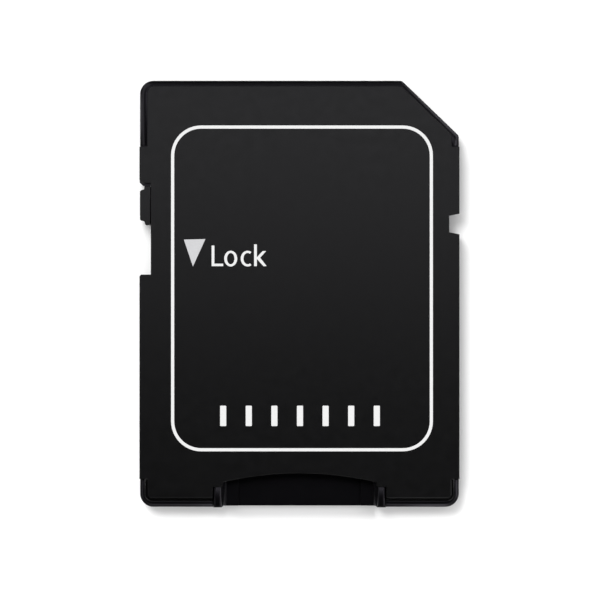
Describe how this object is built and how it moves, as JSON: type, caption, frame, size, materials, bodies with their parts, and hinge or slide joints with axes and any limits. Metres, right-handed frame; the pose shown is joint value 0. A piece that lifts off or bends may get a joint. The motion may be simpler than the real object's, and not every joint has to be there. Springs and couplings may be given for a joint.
{
  "type": "memory card adapter",
  "caption": "Flat plastic adapter that carries a small memory card in the outline of a full-size card, with contact strips and a sliding write lock.",
  "frame": {"origin": "under the centre of the adapter, on the plane of its contact side, which lies on the table", "axes": "+X across the adapter to the side with the small notch, +Y to the contact end, +Z out of the printed face"},
  "size_m": [0.024, 0.032, 0.0021],
  "materials": {
    "cover_plastic": "fine matt texture on the printed face",
    "base_plastic": "fine matt texture",
    "slider_plastic": "satin",
    "contact_metal": "gold plated, smooth",
    "white_ink": "screen print",
    "grey_ink": "screen print"
  },
  "bodies": {
    "housing": {"front_cover": "cover_plastic", "rear_base": "base_plastic", "contact_data_2": "contact_metal", "contact_data_3": "contact_metal", "contact_command": "contact_metal", "contact_ground": "contact_metal", "contact_supply": "contact_metal", "contact_clock": "contact_metal", "contact_data_0": "contact_metal", "contact_data_1": "contact_metal", "printed_border": "white_ink", "lock_arrow": "grey_ink"},
    "slider": {"lock_slider": "slider_plastic"}
  },
  "joints": [
    {"name": "lock_slide", "type": "slide", "parent": "housing", "child": "slider", "axis": [0, -1, 0], "range_m": [0, 0.0036]}
  ]
}
